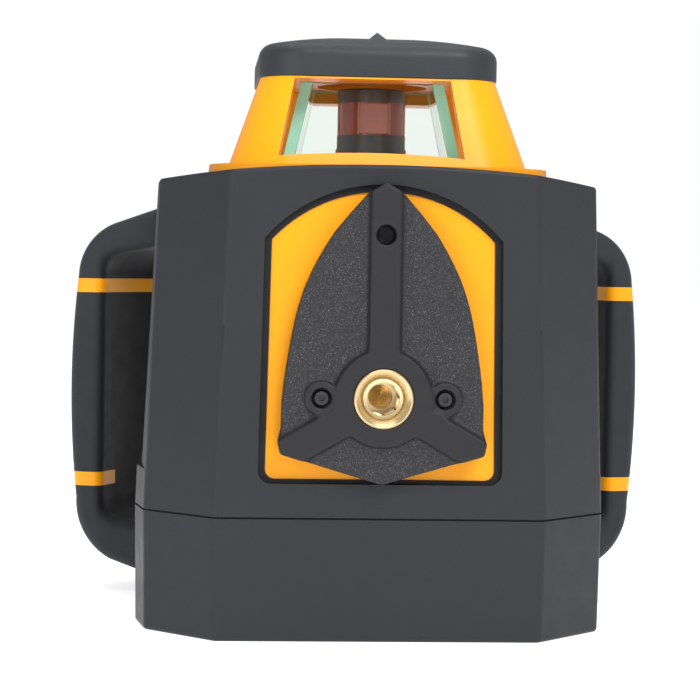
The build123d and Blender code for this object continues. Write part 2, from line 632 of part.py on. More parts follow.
def make_door_screw():
    screw = rod_y(5.9, HALF_DEPTH - 2.5, HALF_DEPTH, 0, DOOR_SCREW_Z)
    screw += rod_y(2.05, 70.5, HALF_DEPTH - 2.5, 0, DOOR_SCREW_Z)
    screw += rod_y(2.9, 73.4, 74.6, 0, DOOR_SCREW_Z)
    return screw - block(-7, 7, HALF_DEPTH - 1.2, HALF_DEPTH + 1, DOOR_SCREW_Z - 0.8, DOOR_SCREW_Z + 0.8)


def make_door_springs():
    """Negative contacts, one behind each column of cells."""
    last = 6.0 + CELL_LENGTH + 0.25
    springs = []
    for side in (-1, 1):
        coil = rod_y(6.0, last + 0.4, HALF_DEPTH - 3, side * CELL_X, CELL_Z)
        springs.append(coil - rod_y(4.4, last - 1, HALF_DEPTH - 4, side * CELL_X, CELL_Z))
    return springs


def make_hinge_pin():
    return rod_x(1.5, 1.8 - DOOR_HALF - 5, DOOR_HALF + 5 - 1.8, HINGE_Y, HINGE_Z)


# --- Levelling core ----------------------------------------------------------
def make_chassis():
    plate = block(-58, 58, -60, 60, BASE_TOP, CHASSIS_TOP)
    plate += block(-83, 83, -50, -40, BASE_TOP, CHASSIS_TOP) + block(-71, 71, 53, 63, BASE_TOP, CHASSIS_TOP)
    plate += block(-70, -57, -8, 8, BASE_TOP, CHASSIS_TOP) + block(-8, 8, -66, -59, BASE_TOP, CHASSIS_TOP)
    plate -= rod_z(15.0, BASE_TOP - 1, CHASSIS_TOP + 1)
    for side in (-1, 1):
        post = block(side * (POST_X - 4), side * (POST_X + 4), -9, 9, CHASSIS_TOP, GIMBAL_Z)
        post += rod_x(4.0, side * (POST_X - 4), side * (POST_X + 4), 0, GIMBAL_Z)
        post -= rod_x(PIN_R + 0.05, side * (POST_X - 6), side * (POST_X + 6), 0, GIMBAL_Z)
        plate += post
        plate += block(side * POST_X - 3, side * POST_X + 3, -30, 30, CHASSIS_TOP, CHASSIS_TOP + 20)
    for x, y in HOUSING_SCREWS:
        plate -= rod_z(1.9, BASE_TOP - 1, CHASSIS_TOP + 1, x, y)
    return plate


def make_gimbal_ring():
    ring = tube_z(RING_OUTER, RING_INNER, GIMBAL_Z - RING_HALF, GIMBAL_Z + RING_HALF)
    ring += block(-4.5, 4.5, -SCREW_Y - 5.5, 2 - RING_OUTER, GIMBAL_Z - 3, GIMBAL_Z + 3)
    ring -= rod_z(3.2, GIMBAL_Z - 5, GIMBAL_Z + 5, 0, -SCREW_Y)
    ring -= rod_x(PIN_R, -60, 60, 0, GIMBAL_Z)
    ring -= rod_y(PIN_R + 0.05, -RING_OUTER - 1, RING_OUTER + 1, 0, GIMBAL_Z)
    return ring


def make_outer_pins():
    return [rod_x(PIN_R, side * (RING_INNER + 0.5), side * (POST_X + 4), 0, GIMBAL_Z) for side in (-1, 1)]


def make_inner_pins():
    return [rod_y(PIN_R, side * 22, side * (RING_OUTER - 1), 0, GIMBAL_Z) for side in (-1, 1)]


def make_laser_platform():
    tube = rod_z(TUBE_R, 92, FLANGE_Z + 3)
    tube += rod_z(MOTOR_X + 9, FLANGE_Z, FLANGE_Z + 3) & block(-20, 50, -14, 14, 160, 180)
    tube += block(-6, 6, -RING_INNER + 2, RING_INNER - 2, GIMBAL_Z - 6, GIMBAL_Z + 6)
    arm = block(-SCREW_X, -TUBE_R + 2, -4, 4, GIMBAL_Z + 11, GIMBAL_Z + 16)
    arm += rod_z(ARM_EYE_R + 3, GIMBAL_Z + 11, GIMBAL_Z + 16, -SCREW_X, 0)
    tube += arm - rod_z(ARM_EYE_R, 150, 170, -SCREW_X, 0)
    tube -= rod_z(MODULE_R, 91, 136)
    tube -= rod_z(8.0, 130, 156)
    tube -= rod_z(BEARING_R, 155, FLANGE_Z + 4)
    for side in (-1, 1):
        tube -= rod_y(PIN_R, side * 21.9, side * 50, 0, GIMBAL_Z)
    tube -= rod_z(2.0, FLANGE_Z - 1, FLANGE_Z + 4, MOTOR_X, 0)
    return tube


def make_laser_module():
    body = rod_z(MODULE_R, 86, 128) - rod_z(5, 118, 129)
    return body + tube_z(MODULE_R, 6, 128, 131)


def make_collimator_lens():
    return rod_z(7.9, 136.5, 140) + (Pos(0, 0, 128) * Sphere(14.2) & rod_z(7.9, 139, 143))


def make_spin_motor():
    can = rod_z(7.4, FLANGE_Z - 15, FLANGE_Z, MOTOR_X, 0)
    return can - rod_z(1.1, FLANGE_Z - 12, FLANGE_Z + 1, MOTOR_X, 0)


def make_motor_pulley():
    z = BELT_Z
    pulley = rod_z(MOTOR_PULLEY_R, z - 2.5, z + 2.5, MOTOR_X, 0)
    pulley += rod_z(MOTOR_PULLEY_R + 1.4, z - 3.3, z - 2.5, MOTOR_X, 0)
    return pulley + rod_z(1.0, FLANGE_Z - 11, z, MOTOR_X, 0)


def belt_loop(gap):
    """The belt's path round both pulleys, with a gap outside each."""
    big = ROTOR_PULLEY_R + gap
    small = MOTOR_PULLEY_R + gap
    lean = math.acos((big - small) / MOTOR_X)
    upper = [(MOTOR_X + small * math.cos(lean), small * math.sin(lean)),
             (big * math.cos(lean), big * math.sin(lean))]
    lower = [(x, -y) for x, y in reversed(upper)]
    face = Polygon(*upper, *lower, align=None)
    return face + Circle(big) + Pos(MOTOR_X, 0) * Circle(small)


def make_drive_belt():
    band = belt_loop(1.3) - belt_loop(0.3)
    return Pos(0, 0, BELT_Z - 2) * extrude(band, 4)


def make_spindle_bearings():
    return [tube_z(BEARING_R, SHAFT_R + 0.05, z, z + 5) for z in (156.5, FLANGE_Z - 2.5)]


def make_spindle():
    z = BELT_Z
    shaft = rod_z(SHAFT_R, 156.5, 198.0)
    shaft += rod_z(ROTOR_PULLEY_R, z - 3.0, z + 3.0) + rod_z(ROTOR_PULLEY_R + 0.9, z + 3.0, z + 3.8)
    return shaft - rod_z(4.0, 150, 200)


# --- Rotor ------------------------------------------------------------------
def make_rotor_base():
    base = rod_z(ROTOR_R + 0.5, 196.0, 204.0) + rod_z(ROTOR_R, 204.0, WINDOW_LOW)
    base -= rod_z(12.0, 199.5, WINDOW_LOW + 1)
    return base - rod_z(SHAFT_R, 195, 198) - rod_z(4.0, 190, 202)


def make_rotor_window():
    return tube_z(ROTOR_R - 0.1, ROTOR_R - 1.8, WINDOW_LOW, WINDOW_HIGH)


def make_rotor_cap():
    cap = rod_z(ROTOR_R, WINDOW_HIGH, ROTOR_TOP)
    cap = fillet(cap.edges().sort_by(Axis.Z)[-1], 0.8)
    return cap - rod_z(ROTOR_R - 2, WINDOW_HIGH - 1, WINDOW_HIGH)


def make_prism_holder():
    holder = tube_z(11.9, 8.5, 199.5, 211.5)
    floor = tube_z(11.9, 4.5, 206.0, 208.0)
    posts = rod_z(1.5, 211.5, WINDOW_HIGH, -10.0, 6.0) + rod_z(1.5, 211.5, WINDOW_HIGH, -10.0, -6.0)
    return holder + floor + posts


def make_pentaprism():
    """Five-sided prism that turns the upright beam level."""
    size = 10.0
    slant = size * math.tan(math.radians(22.5))
    outline = Polygon((-size / 2, 0), (size / 2, 0), (size / 2, size), (-size / 2 + slant - 4, size + 1.2),
                      (-size / 2 - 2.5, size - 3), align=None)
    prism = extrude(Plane.XZ * outline, 5, both=True)
    return Pos(0, 0, 211.5) * prism


# --- Levelling drives --------------------------------------------------------
def make_levelling_motors():
    motors = []
    for x, y in DRIVES:
        motors.append(rod_z(6.0, CHASSIS_TOP, CHASSIS_TOP + 26, x, y) - rod_z(LEAD_R, 70, 90, x, y))
    return motors


def make_lead_screws():
    tops = (GIMBAL_Z + 24, GIMBAL_Z + 8)
    return [rod_z(LEAD_R, 70, top, x, y) for (x, y), top in zip(DRIVES, tops)]


def make_nut(name, place):
    x, y = place
    top = NUT_TOP[name]
    nut = Pos(x, y, top - 4) * extrude(RegularPolygon(5.0, 6), 4, both=True)
    return nut - rod_z(LEAD_R + 0.05, top - 10, top + 2, x, y)


# --- Electronics and keys ----------------------------------------------------
def make_main_board():
    board = block(-50, 50, BOARD_Y, BOARD_Y + 1.6, 106, 166)
    for x in (-46, 46):
        board += block(x - 3, x + 3, BOARD_Y + 1.6, BOARD_Y + 3.0, 108, 112)
    return board


def make_board_parts():
    """Key switches and chips on the main board."""
    front = BOARD_Y + 1.6
    parts = [block(x - 3, x + 3, front, front + 4.0, z - 3, z + 3) for x, z in KEYS.values()]
    parts += [block(x - 8, x + 8, BOARD_Y - 1.5, BOARD_Y, z - 8, z + 8) for x, z in ((-25, 150), (5, 150))]
    return parts


def make_control_panel():
    panel = block(-CONTROL_HALF, CONTROL_HALF, HALF_DEPTH - 1.5, HALF_DEPTH + 1.0, CONTROL_LOW, CONTROL_HIGH)
    panel = fillet(panel.edges().filter_by(Axis.Y), 6.0)
    for x, z in KEYS.values():
        panel -= rod_y(KEY_R + 0.25, 70, 90, x, z)
    for x, z in LIGHTS:
        panel -= rod_y(1.6, 70, 90, x, z)
    return panel


def make_key(place):
    x, z = place
    key = rod_y(KEY_R, HALF_DEPTH - 3.5, HALF_DEPTH + 2.2, x, z)
    key = fillet(key.edges().sort_by(Axis.Y)[-1], 0.6)
    key += rod_y(KEY_R + 1.6, HALF_DEPTH - 4.5, HALF_DEPTH - 3.5, x, z)
    return key + rod_y(1.5, BOARD_Y + 1.6 + 5.0, HALF_DEPTH - 4.5, x, z)


def make_status_lights():
    return [rod_y(1.55, HALF_DEPTH - 3, HALF_DEPTH + 1.4, x, z) for x, z in LIGHTS]


# --- Writing the nodes --------------------------------------------------------
main_housing = make_main_housing()
base_housing = make_base_housing()
save("main_housing", main_housing)
save("base_housing", base_housing)
save("seam_gasket", make_seam_gasket())
save("housing_screws", *make_housing_screws())
save("front_panel", make_front_panel())
save("panel_gasket", make_panel_gasket())
save("mount_plate", make_mount_plate())
save("side_socket", make_side_socket())
save("plate_screws", *make_plate_screws())

save("lantern_frame", make_lantern_frame())
side_panes, end_panes = make_panes()
save("side_panes", side_panes)
save("end_panes", end_panes)
save("top_cap", make_top_cap())
save("cap_screws", *make_cap_screws())

for side, name in ((-1, "left"), (1, "right")):
    grip, bands = make_handle(side)
    save(f"{name}_handle", grip)
    save(f"{name}_handle_bands", *bands)
save("handle_screws", *make_handle_screws())

save("tripod_plate", make_tripod_plate())
save("tripod_socket", make_tripod_socket())
save("tripod_plate_screws", *make_tripod_plate_screws())
save("plumb_window", make_plumb_window())
save("battery_cells", *make_battery_cells())
save("battery_contacts", *make_battery_contacts())
save("battery_door", make_battery_door())
save("door_screw", make_door_screw())
save("door_springs", *make_door_springs())
save("hinge_pin", make_hinge_pin())

save("chassis", make_chassis())
save("gimbal_ring", make_gimbal_ring())
save("gimbal_outer_pins", *make_outer_pins())
save("gimbal_inner_pins", *make_inner_pins())
save("laser_platform", make_laser_platform())
save("laser_module", make_laser_module())
save("collimator_lens", make_collimator_lens())
save("spin_motor", make_spin_motor())
save("motor_pulley", make_motor_pulley())
save("drive_belt", make_drive_belt())
save("spindle_bearings", *make_spindle_bearings())
save("spindle", make_spindle())
save("rotor_base", make_rotor_base())
save("rotor_window", make_rotor_window())
save("rotor_cap", make_rotor_cap())
save("prism_holder", make_prism_holder())
save("pentaprism", make_pentaprism())
save("levelling_motors", *make_levelling_motors())
save("lead_screws", *make_lead_screws())
for name, place in zip(("tilt_y_nut", "tilt_x_nut"), DRIVES):
    save(name, make_nut(name, place))

save("main_board", make_main_board())
save("board_parts", *make_board_parts())
save("control_panel", make_control_panel())
save("status_lights", *make_status_lights())
for name, place in KEYS.items():
    save(name, make_key(place))
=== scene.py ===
import json
import math

import bmesh
import bpy
from mathutils import Matrix, Vector, noise


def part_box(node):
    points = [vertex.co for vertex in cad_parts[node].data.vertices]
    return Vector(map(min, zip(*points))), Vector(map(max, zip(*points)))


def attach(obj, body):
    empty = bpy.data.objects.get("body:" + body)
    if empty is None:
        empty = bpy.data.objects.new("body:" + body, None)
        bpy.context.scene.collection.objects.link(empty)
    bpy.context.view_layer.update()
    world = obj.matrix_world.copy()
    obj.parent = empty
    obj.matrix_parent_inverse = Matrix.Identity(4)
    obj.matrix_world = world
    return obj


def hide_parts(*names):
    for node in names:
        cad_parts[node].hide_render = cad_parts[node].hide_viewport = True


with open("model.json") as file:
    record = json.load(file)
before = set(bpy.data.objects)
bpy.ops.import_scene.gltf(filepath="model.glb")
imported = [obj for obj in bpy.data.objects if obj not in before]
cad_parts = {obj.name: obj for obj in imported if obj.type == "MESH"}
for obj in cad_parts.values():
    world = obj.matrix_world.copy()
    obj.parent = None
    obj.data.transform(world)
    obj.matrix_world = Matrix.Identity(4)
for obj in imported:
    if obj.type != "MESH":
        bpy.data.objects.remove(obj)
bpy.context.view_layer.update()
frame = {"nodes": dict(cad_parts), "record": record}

# Rotating laser level: looks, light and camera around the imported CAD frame. Metres, +Z up.

# --- Camera and light ---------------------------------------------------------
CAMERA_PLACE = Vector((-0.0766, -0.9676, 0.1550))
CAMERA_YAW = math.radians(4.08)        # turned towards +X from looking along +Y
CAMERA_PITCH = math.radians(2.30)      # looking down
CAMERA_ROLL = math.radians(1.01)
CAMERA_LENS = 113.0
WORLD_LIGHT = 0.45                     # strength of the white surroundings as a light
WORLD_SEEN = 1.0                       # and as the background, also through glass
LIGHT_TARGET = (0, 0, 0.12)
FLOOR_HALF = 6.0
FLOOR_GLOW = 0.6                       # keeps the floor as pale as the background


def make_camera():
    yaw, pitch, roll = CAMERA_YAW, CAMERA_PITCH, CAMERA_ROLL
    forward = Vector((math.sin(yaw) * math.cos(pitch), math.cos(yaw) * math.cos(pitch), -math.sin(pitch)))
    level = Vector((math.cos(yaw), -math.sin(yaw), 0))
    upright = level.cross(forward)
    right = math.cos(roll) * level + math.sin(roll) * upright
    up = right.cross(forward)
    camera = bpy.data.objects.new("camera", bpy.data.cameras.new("camera"))
    camera.data.lens = CAMERA_LENS
    camera.data.sensor_width = 36.0
    turn = Matrix((right, up, -forward)).transposed().to_4x4()
    camera.matrix_world = Matrix.Translation(CAMERA_PLACE) @ turn
    bpy.context.collection.objects.link(camera)
    bpy.context.scene.camera = camera


def area_light(name, place, target, size, power):
    light = bpy.data.lights.new(name, "AREA")
    light.shape = "RECTANGLE"
    light.size, light.size_y = size
    light.energy = power
    lamp = bpy.data.objects.new(name, light)
    lamp.location = place
    aim = Vector(target) - Vector(place)
    lamp.rotation_mode = "QUATERNION"
    lamp.rotation_quaternion = aim.to_track_quat("-Z", "Y")
    bpy.context.collection.objects.link(lamp)


def make_world():
    """White surroundings that look brighter to the camera than they light the object."""
    world = bpy.data.worlds.new("studio")
    world.use_nodes = True
    nodes, links = world.node_tree.nodes, world.node_tree.links
    background = nodes["Background"]
    background.inputs["Color"].default_value = (1.0, 1.0, 1.0, 1.0)
    path = nodes.new("ShaderNodeLightPath")
    seen = nodes.new("ShaderNodeMath")
    seen.operation = "MAXIMUM"
    links.new(path.outputs["Is Camera Ray"], seen.inputs[0])
    links.new(path.outputs["Is Transmission Ray"], seen.inputs[1])
    strength = nodes.new("ShaderNodeMapRange")
    strength.inputs["To Min"].default_value = WORLD_LIGHT
    strength.inputs["To Max"].default_value = WORLD_SEEN
    links.new(seen.outputs[0], strength.inputs["Value"])
    links.new(strength.outputs["Result"], background.inputs["Strength"])
    bpy.context.scene.world = world
    bpy.context.scene.view_settings.view_transform = "Standard"


def make_lights():
    area_light("key_light", (0.6, -1.6, 1.6), LIGHT_TARGET, (1.0, 1.0), 32)
    area_light("fill_light", (-1.1, -1.5, 0.6), LIGHT_TARGET, (1.2, 1.2), 8)
    area_light("top_light", (0.0, 0.1, 1.6), LIGHT_TARGET, (1.4, 1.4), 11)


def make_floor():
    mesh = bpy.data.meshes.new("floor")
    corners = [(-FLOOR_HALF, -FLOOR_HALF, 0), (FLOOR_HALF, -FLOOR_HALF, 0),
               (FLOOR_HALF, FLOOR_HALF, 0), (-FLOOR_HALF, FLOOR_HALF, 0)]
    mesh.from_pydata(corners, [], [(0, 1, 2, 3)])
    floor = bpy.data.objects.new("floor", mesh)
    bpy.context.collection.objects.link(floor)
    floor.data.materials.append(floor_look())


# --- Places on the object -------------------------------------------------------
PLATE_FRONT = -0.090                   # front of the plate's ribs
HUB_SMOOTH = 0.0135                    # round the insert the casting keeps no grain
GRIP_AXIS_X, GRIP_AXIS_Y = 0.052, 0.038  # axis the handles curve about, on the +X side
GRIP_INSIDE = 0.0705                   # distance from it where their inner side begins; the painted shade lies within it
THREAD_MINOR = 0.00675
THREAD_MAJOR = 0.00794                 # 5/8 inch
THREAD_PITCH = 0.0254 / 11


# --- Materials ------------------------------------------------------------------
class Look:
    """A material under construction: one Principled shader fed by procedural nodes."""

    def __init__(self, name, colour, roughness=0.5, **sockets):
        self.material = bpy.data.materials.new(name)
        self.material.use_nodes = True
        self.tree = self.material.node_tree
        self.shader = self.tree.nodes["Principled BSDF"]
        self.shader.inputs["Base Color"].default_value = (*colour, 1.0)
        self.shader.inputs["Roughness"].default_value = roughness
        for socket, value in sockets.items():
            self.shader.inputs[socket.replace("_", " ")].default_value = value
        self.place = self.add("ShaderNodeTexCoord").outputs["Object"]

    def add(self, kind, inputs=None, **settings):
        node = self.tree.nodes.new(kind)
        for key, value in settings.items():
            setattr(node, key, value)
        for key, value in (inputs or {}).items():
            if isinstance(value, bpy.types.NodeSocket):
                self.tree.links.new(value, node.inputs[key])
            else:
                node.inputs[key].default_value = value
        return node

    def set(self, socket, output):
        self.tree.links.new(output, self.shader.inputs[socket])

    def stretched(self, scale):
        return self.add("ShaderNodeMapping", {"Vector": self.place, "Scale": scale}).outputs["Vector"]

    def noise(self, scale, detail=3.0, roughness=0.5, place=None):
        values = {"Vector": place or self.place, "Scale": scale, "Detail": detail, "Roughness": roughness}
        return self.add("ShaderNodeTexNoise", values).outputs["Fac"]

    def ramp(self, factor, low, high, to_low=0.0, to_high=1.0):
        values = {"Value": factor, "From Min": low, "From Max": high, "To Min": to_low, "To Max": to_high}
        return self.add("ShaderNodeMapRange", values).outputs["Result"]

    def math(self, operation, a, b):
        return self.add("ShaderNodeMath", {0: a, 1: b}, operation=operation).outputs[0]

    def colours(self, factor, low, high):
        mix = self.add("ShaderNodeMix", data_type="RGBA")
        self.tree.links.new(factor, mix.inputs["Factor"])
        for place, colour in ((6, low), (7, high)):
            if isinstance(colour, bpy.types.NodeSocket):
                self.tree.links.new(colour, mix.inputs[place])
            else:
                mix.inputs[place].default_value = (*colour, 1.0)
        return mix.outputs[2]

    def bumps(self, height, strength, distance, below=None):
        values = {"Height": height, "Strength": strength, "Distance": distance}
        if below is not None:
            values["Normal"] = below
        return self.add("ShaderNodeBump", values).outputs["Normal"]


def shade(colour, factor):
    return tuple(channel * factor for channel in colour)


def floor_look():
    """Pale floor, lit a little by itself."""
    look = Look("floor_white", (0.95, 0.95, 0.95), 0.6, Specular_IOR_Level=0.2,
                Emission_Color=(1.0, 1.0, 1.0, 1.0), Emission_Strength=FLOOR_GLOW)
    look.set("Base Color", look.colours(look.noise(3.0, 2.0), (0.94, 0.94, 0.94), (0.96, 0.96, 0.96)))
    return look.material


def moulded_plastic(name, colour, roughness, grain=1400.0, depth=0.25, specular=0.45):
    """Moulded plastic: fine spark-eroded grain, slight cloudiness and faint rubbing marks."""
    look = Look(name, colour, roughness, Specular_IOR_Level=specular)
    cloud = look.noise(14.0, 4.0, 0.6)
    look.set("Base Color", look.colours(cloud, shade(colour, 0.90), shade(colour, 1.12)))
    rubbed = look.noise(90.0, 5.0, 0.65)
    look.set("Roughness", look.ramp(rubbed, 0.3, 0.7, roughness - 0.05, roughness + 0.06))
    fine = look.noise(grain, 3.0, 0.6)
    look.set("Normal", look.bumps(fine, depth, 0.0004))
    return look.material


def orange_plastic(name):
    """Glossier moulded plastic with a faint flow pattern."""
    colour = (1.0, 0.395, 0.012)
    look = Look(name, colour, 0.34, Specular_IOR_Level=0.24, Coat_Weight=0.03, Coat_Roughness=0.25)
    cloud = look.noise(9.0, 3.0, 0.5)
    look.set("Base Color", look.colours(cloud, (0.96, 0.355, 0.004), (1.0, 0.40, 0.008)))
    look.set("Roughness", look.ramp(look.noise(160.0, 4.0, 0.6), 0.3, 0.7, 0.30, 0.40))
    look.set("Normal", look.bumps(look.noise(1900.0, 2.0, 0.5), 0.10, 0.0003))
    return look.material


def soft_rubber(name, colour, roughness=0.62):
    look = Look(name, colour, roughness, Specular_IOR_Level=0.25, Sheen_Weight=0.05, Sheen_Roughness=0.5)
    cloud = look.noise(22.0, 4.0, 0.6)
    look.set("Base Color", look.colours(cloud, shade(colour, 0.88), shade(colour, 1.15)))
    rubbed = look.noise(120.0, 4.0, 0.6)
    look.set("Roughness", look.ramp(rubbed, 0.3, 0.7, roughness - 0.06, roughness + 0.08))
    look.set("Normal", look.bumps(look.noise(2300.0, 3.0, 0.6), 0.22, 0.0003))
    return look.material


def grip_rubber(name, colour):
    """Soft rubber of the handles, with painted shade darkening the side that faces the housing."""
    look = Look(name, colour, 0.62, Specular_IOR_Level=0.25, Sheen_Weight=0.05, Sheen_Roughness=0.5)
    # Mask: 0 on the grips' inner side, where shade is painted, 1 on the outer side and at the ends.
    spot = look.add("ShaderNodeSeparateXYZ", {"Vector": look.place})
    across = look.math("SUBTRACT", look.math("ABSOLUTE", spot.outputs["X"], 0.0), GRIP_AXIS_X)
    along = look.math("SUBTRACT", spot.outputs["Y"], GRIP_AXIS_Y)
    line = look.add("ShaderNodeCombineXYZ", {"X": across, "Y": along}).outputs[0]
    reach = look.add("ShaderNodeVectorMath", {0: line}, operation="LENGTH").outputs["Value"]
    free_of_painted_shade = look.ramp(reach, GRIP_INSIDE - 0.001, GRIP_INSIDE + 0.001)
    low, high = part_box("left_handle")
    middle, tall = (low[2] + high[2]) / 2, high[2] - low[2]
    from_middle = look.math("ABSOLUTE", look.math("SUBTRACT", spot.outputs["Z"], middle), 0.0)
    ends = look.ramp(from_middle, 0.30 * tall, 0.37 * tall)
    free_of_painted_shade = look.math("MAXIMUM", free_of_painted_shade, ends)
    # Random cloudy tone of the rubber where no painted shade lies.
    cloud = look.noise(22.0, 4.0, 0.6)
    rubbed = look.colours(cloud, shade(colour, 0.95), shade(colour, 1.25))
    # Painted shade: the inner side drops to 0.40 of the rubber's colour.
    look.set("Base Color", look.colours(free_of_painted_shade, shade(colour, 0.40), rubbed))
    look.set("Roughness", look.ramp(look.noise(120.0, 4.0, 0.6), 0.3, 0.7, 0.56, 0.70))
    look.set("Normal", look.bumps(look.noise(2300.0, 3.0, 0.6), 0.22, 0.0003))
    return look.material


def cast_metal(name, colour):
    """Black-painted casting: a coarse sandy skin with bright painted glints on the webs, smoother ribs, and
    painted shade on what lies set back behind the webs.
    """
    look = Look(name, colour, 0.5, Specular_IOR_Level=0.3)
    depth = look.add("ShaderNodeSeparateXYZ", {"Vector": look.place}).outputs["Y"]
    web = look.ramp(depth, PLATE_FRONT + 0.0008, PLATE_FRONT + 0.0026)
    # Mask for the painted shade on everything set back behind the webs.
    painted_recess_shade = look.ramp(depth, PLATE_FRONT + 0.0045, PLATE_FRONT + 0.0055)
    sand = look.noise(900.0, 4.0, 0.7)
    skin = look.colours(look.ramp(sand, 0.35, 0.75), shade(colour, 0.55), shade(colour, 1.35))
    # Painted glints: small bright dots in the webs' base colour stand in for sparkle.
    painted_glints = look.ramp(look.noise(2400.0, 1.0, 0.4), 0.60, 0.78)
    skin = look.colours(painted_glints, skin, (0.13, 0.13, 0.14))
    ribs = look.colours(sand, shade(colour, 0.52), shade(colour, 0.72))
    face = look.colours(web, ribs, skin)
    # Painted shade: set-back parts drop to 0.3 of the colour.
    look.set("Base Color", look.colours(painted_recess_shade, face, shade(colour, 0.3)))
    look.set("Roughness", look.ramp(look.noise(1500.0, 3.0), 0.3, 0.7, 0.38, 0.60))
    look.set("Normal", look.bumps(sand, 0.35, 0.0006))
    return look.material


def metal(name, colour, roughness, streak=(40.0, 40.0, 1500.0), depth=0.05):
    """Machined metal with fine tool marks."""
    look = Look(name, colour, roughness, Metallic=1.0)
    marks = look.noise(1.0, 3.0, 0.6, look.stretched(streak))
    look.set("Base Color", look.colours(marks, shade(colour, 0.88), shade(colour, 1.08)))
    look.set("Roughness", look.ramp(marks, 0.3, 0.7, roughness * 0.75, roughness * 1.3))
    look.set("Normal", look.bumps(marks, depth, 0.0002))
    return look.material


def turned_metal(name, colour, roughness):
    """Turned metal: fine rings about the side socket's axis."""
    look = Look(name, colour, roughness, Metallic=1.0)
    low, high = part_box("side_socket")
    centre = (0.0, 0.0, (low[2] + high[2]) / 2)
    spoke = look.add("ShaderNodeVectorMath", {0: look.place, 1: centre}, operation="SUBTRACT").outputs[0]
    flat = look.add("ShaderNodeVectorMath", {0: spoke, 1: (1.0, 0.0, 1.0)}, operation="MULTIPLY").outputs[0]
    reach = look.add("ShaderNodeVectorMath", {0: flat}, operation="LENGTH").outputs["Value"]
    line = look.add("ShaderNodeCombineXYZ", {"X": reach}).outputs[0]
    rings = look.noise(2600.0, 2.0, 0.6, line)
    stain = look.noise(160.0, 4.0, 0.6)
    look.set("Base Color", look.colours(stain, shade(colour, 0.90), shade(colour, 1.06)))
    look.set("Roughness", look.ramp(rings, 0.3, 0.7, roughness * 0.8, roughness * 1.35))
    look.set("Normal", look.bumps(rings, 0.10, 0.0002))
    return look.material


def clear_glass(name, colour, roughness=0.02, ior=1.5):
    look = Look(name, colour, roughness, Transmission_Weight=1.0, IOR=ior, Specular_IOR_Level=0.2)
    look.set("Roughness", look.ramp(look.noise(60.0, 4.0), 0.35, 0.8, roughness, roughness + 0.05))
    return look.material


def tinted_window(name, colour):
    """Red filter of the rotor: partly clear, partly coloured in the mass."""
    look = Look(name, colour, 0.08, Transmission_Weight=0.35, IOR=1.45, Specular_IOR_Level=0.5)
    cloud = look.noise(120.0, 3.0, 0.6)
    look.set("Base Color", look.colours(cloud, shade(colour, 0.85), shade(colour, 1.2)))
    look.set("Roughness", look.ramp(look.noise(300.0, 3.0), 0.3, 0.7, 0.05, 0.14))
    return look.material


def ground_glass(name, colour):
    """The green, softly ground edge of float glass, with a faint painted glow."""
    # The emission is painted light: a glow standing in for light piped through the glass.
    look = Look(name, colour, 0.35, Specular_IOR_Level=0.5, Transmission_Weight=0.1, IOR=1.5,
                Emission_Color=(*colour, 1.0), Emission_Strength=0.12)
    look.set("Base Color", look.colours(look.noise(70.0, 3.0), shade(colour, 0.9), shade(colour, 1.1)))
    look.set("Roughness", look.ramp(look.noise(500.0, 3.0), 0.3, 0.7, 0.28, 0.45))
    look.set("Normal", look.bumps(look.noise(1500.0, 2.0), 0.15, 0.0003))
    return look.material


LOOKS = {
    "charcoal_plastic": lambda: moulded_plastic("charcoal", (0.0235, 0.0250, 0.0290), 0.46, specular=0.22),
    "orange_plastic": lambda: orange_plastic("orange"),
    "grip_rubber": lambda: grip_rubber("grip_rubber", (0.021, 0.024, 0.028)),
    "cast_plate": lambda: cast_metal("cast_black", (0.024, 0.024, 0.027)),
    "brass": lambda: turned_metal("turned_brass", (0.80, 0.63, 0.36), 0.27),
    "black_steel": lambda: metal("black_oxide", (0.06, 0.06, 0.065), 0.35),
    "steel": lambda: metal("steel", (0.60, 0.60, 0.62), 0.28),
    "aluminium": lambda: metal("aluminium", (0.74, 0.75, 0.77), 0.32),
    "pane_glass": lambda: clear_glass("pane_glass", (0.93, 0.97, 0.94), 0.01, 1.22),
    "red_window": lambda: tinted_window("red_window", (0.38, 0.070, 0.045)),
    "optical_glass": lambda: clear_glass("optical_glass", (0.96, 0.98, 1.0)),
    "black_plastic": lambda: moulded_plastic("black_satin", (0.030, 0.031, 0.034), 0.36, 1800.0, 0.15),
    "key_rubber": lambda: soft_rubber("key_rubber", (0.075, 0.078, 0.085), 0.55),
    "gasket_rubber": lambda: soft_rubber("gasket_rubber", (0.014, 0.014, 0.015), 0.7),
    "board_green": lambda: moulded_plastic("solder_mask", (0.02, 0.16, 0.06), 0.3, 700.0, 0.1),
    "cell_wrap": lambda: moulded_plastic("cell_sleeve", (0.05, 0.07, 0.12), 0.25, 500.0, 0.05),
    "light_red": lambda: moulded_plastic("light_red", (0.55, 0.03, 0.02), 0.12, 900.0, 0.05),
    "cap_plastic": lambda: moulded_plastic("cap_charcoal", (0.027, 0.032, 0.036), 0.44, specular=0.3),
    "glass_edge": lambda: ground_glass("glass_edge", (0.27, 0.70, 0.56)),
    "port_glass": lambda: tinted_window("port_glass", (0.62, 0.24, 0.20)),
    "symbol_ink": lambda: moulded_plastic("symbol_ink", (0.75, 0.76, 0.78), 0.5, 1200.0, 0.05),
}


def dress_frame():
    """Gives every CAD node the finish of its slot."""
    slots = {row["node"]: row["material_slot"] for row in frame["record"]["subparts"]}
    made = {slot: make() for slot, make in LOOKS.items()}
    for node, piece in frame["nodes"].items():
        look = made[slots[node]]
        for material_slot in piece.material_slots:
            material_slot.material = look
    return made


# --- Pieces ---------------------------------------------------------------------
BODY_OF = {node: body for body, nodes in frame["record"]["behaviour"]["bodies"].items() for node in nodes}

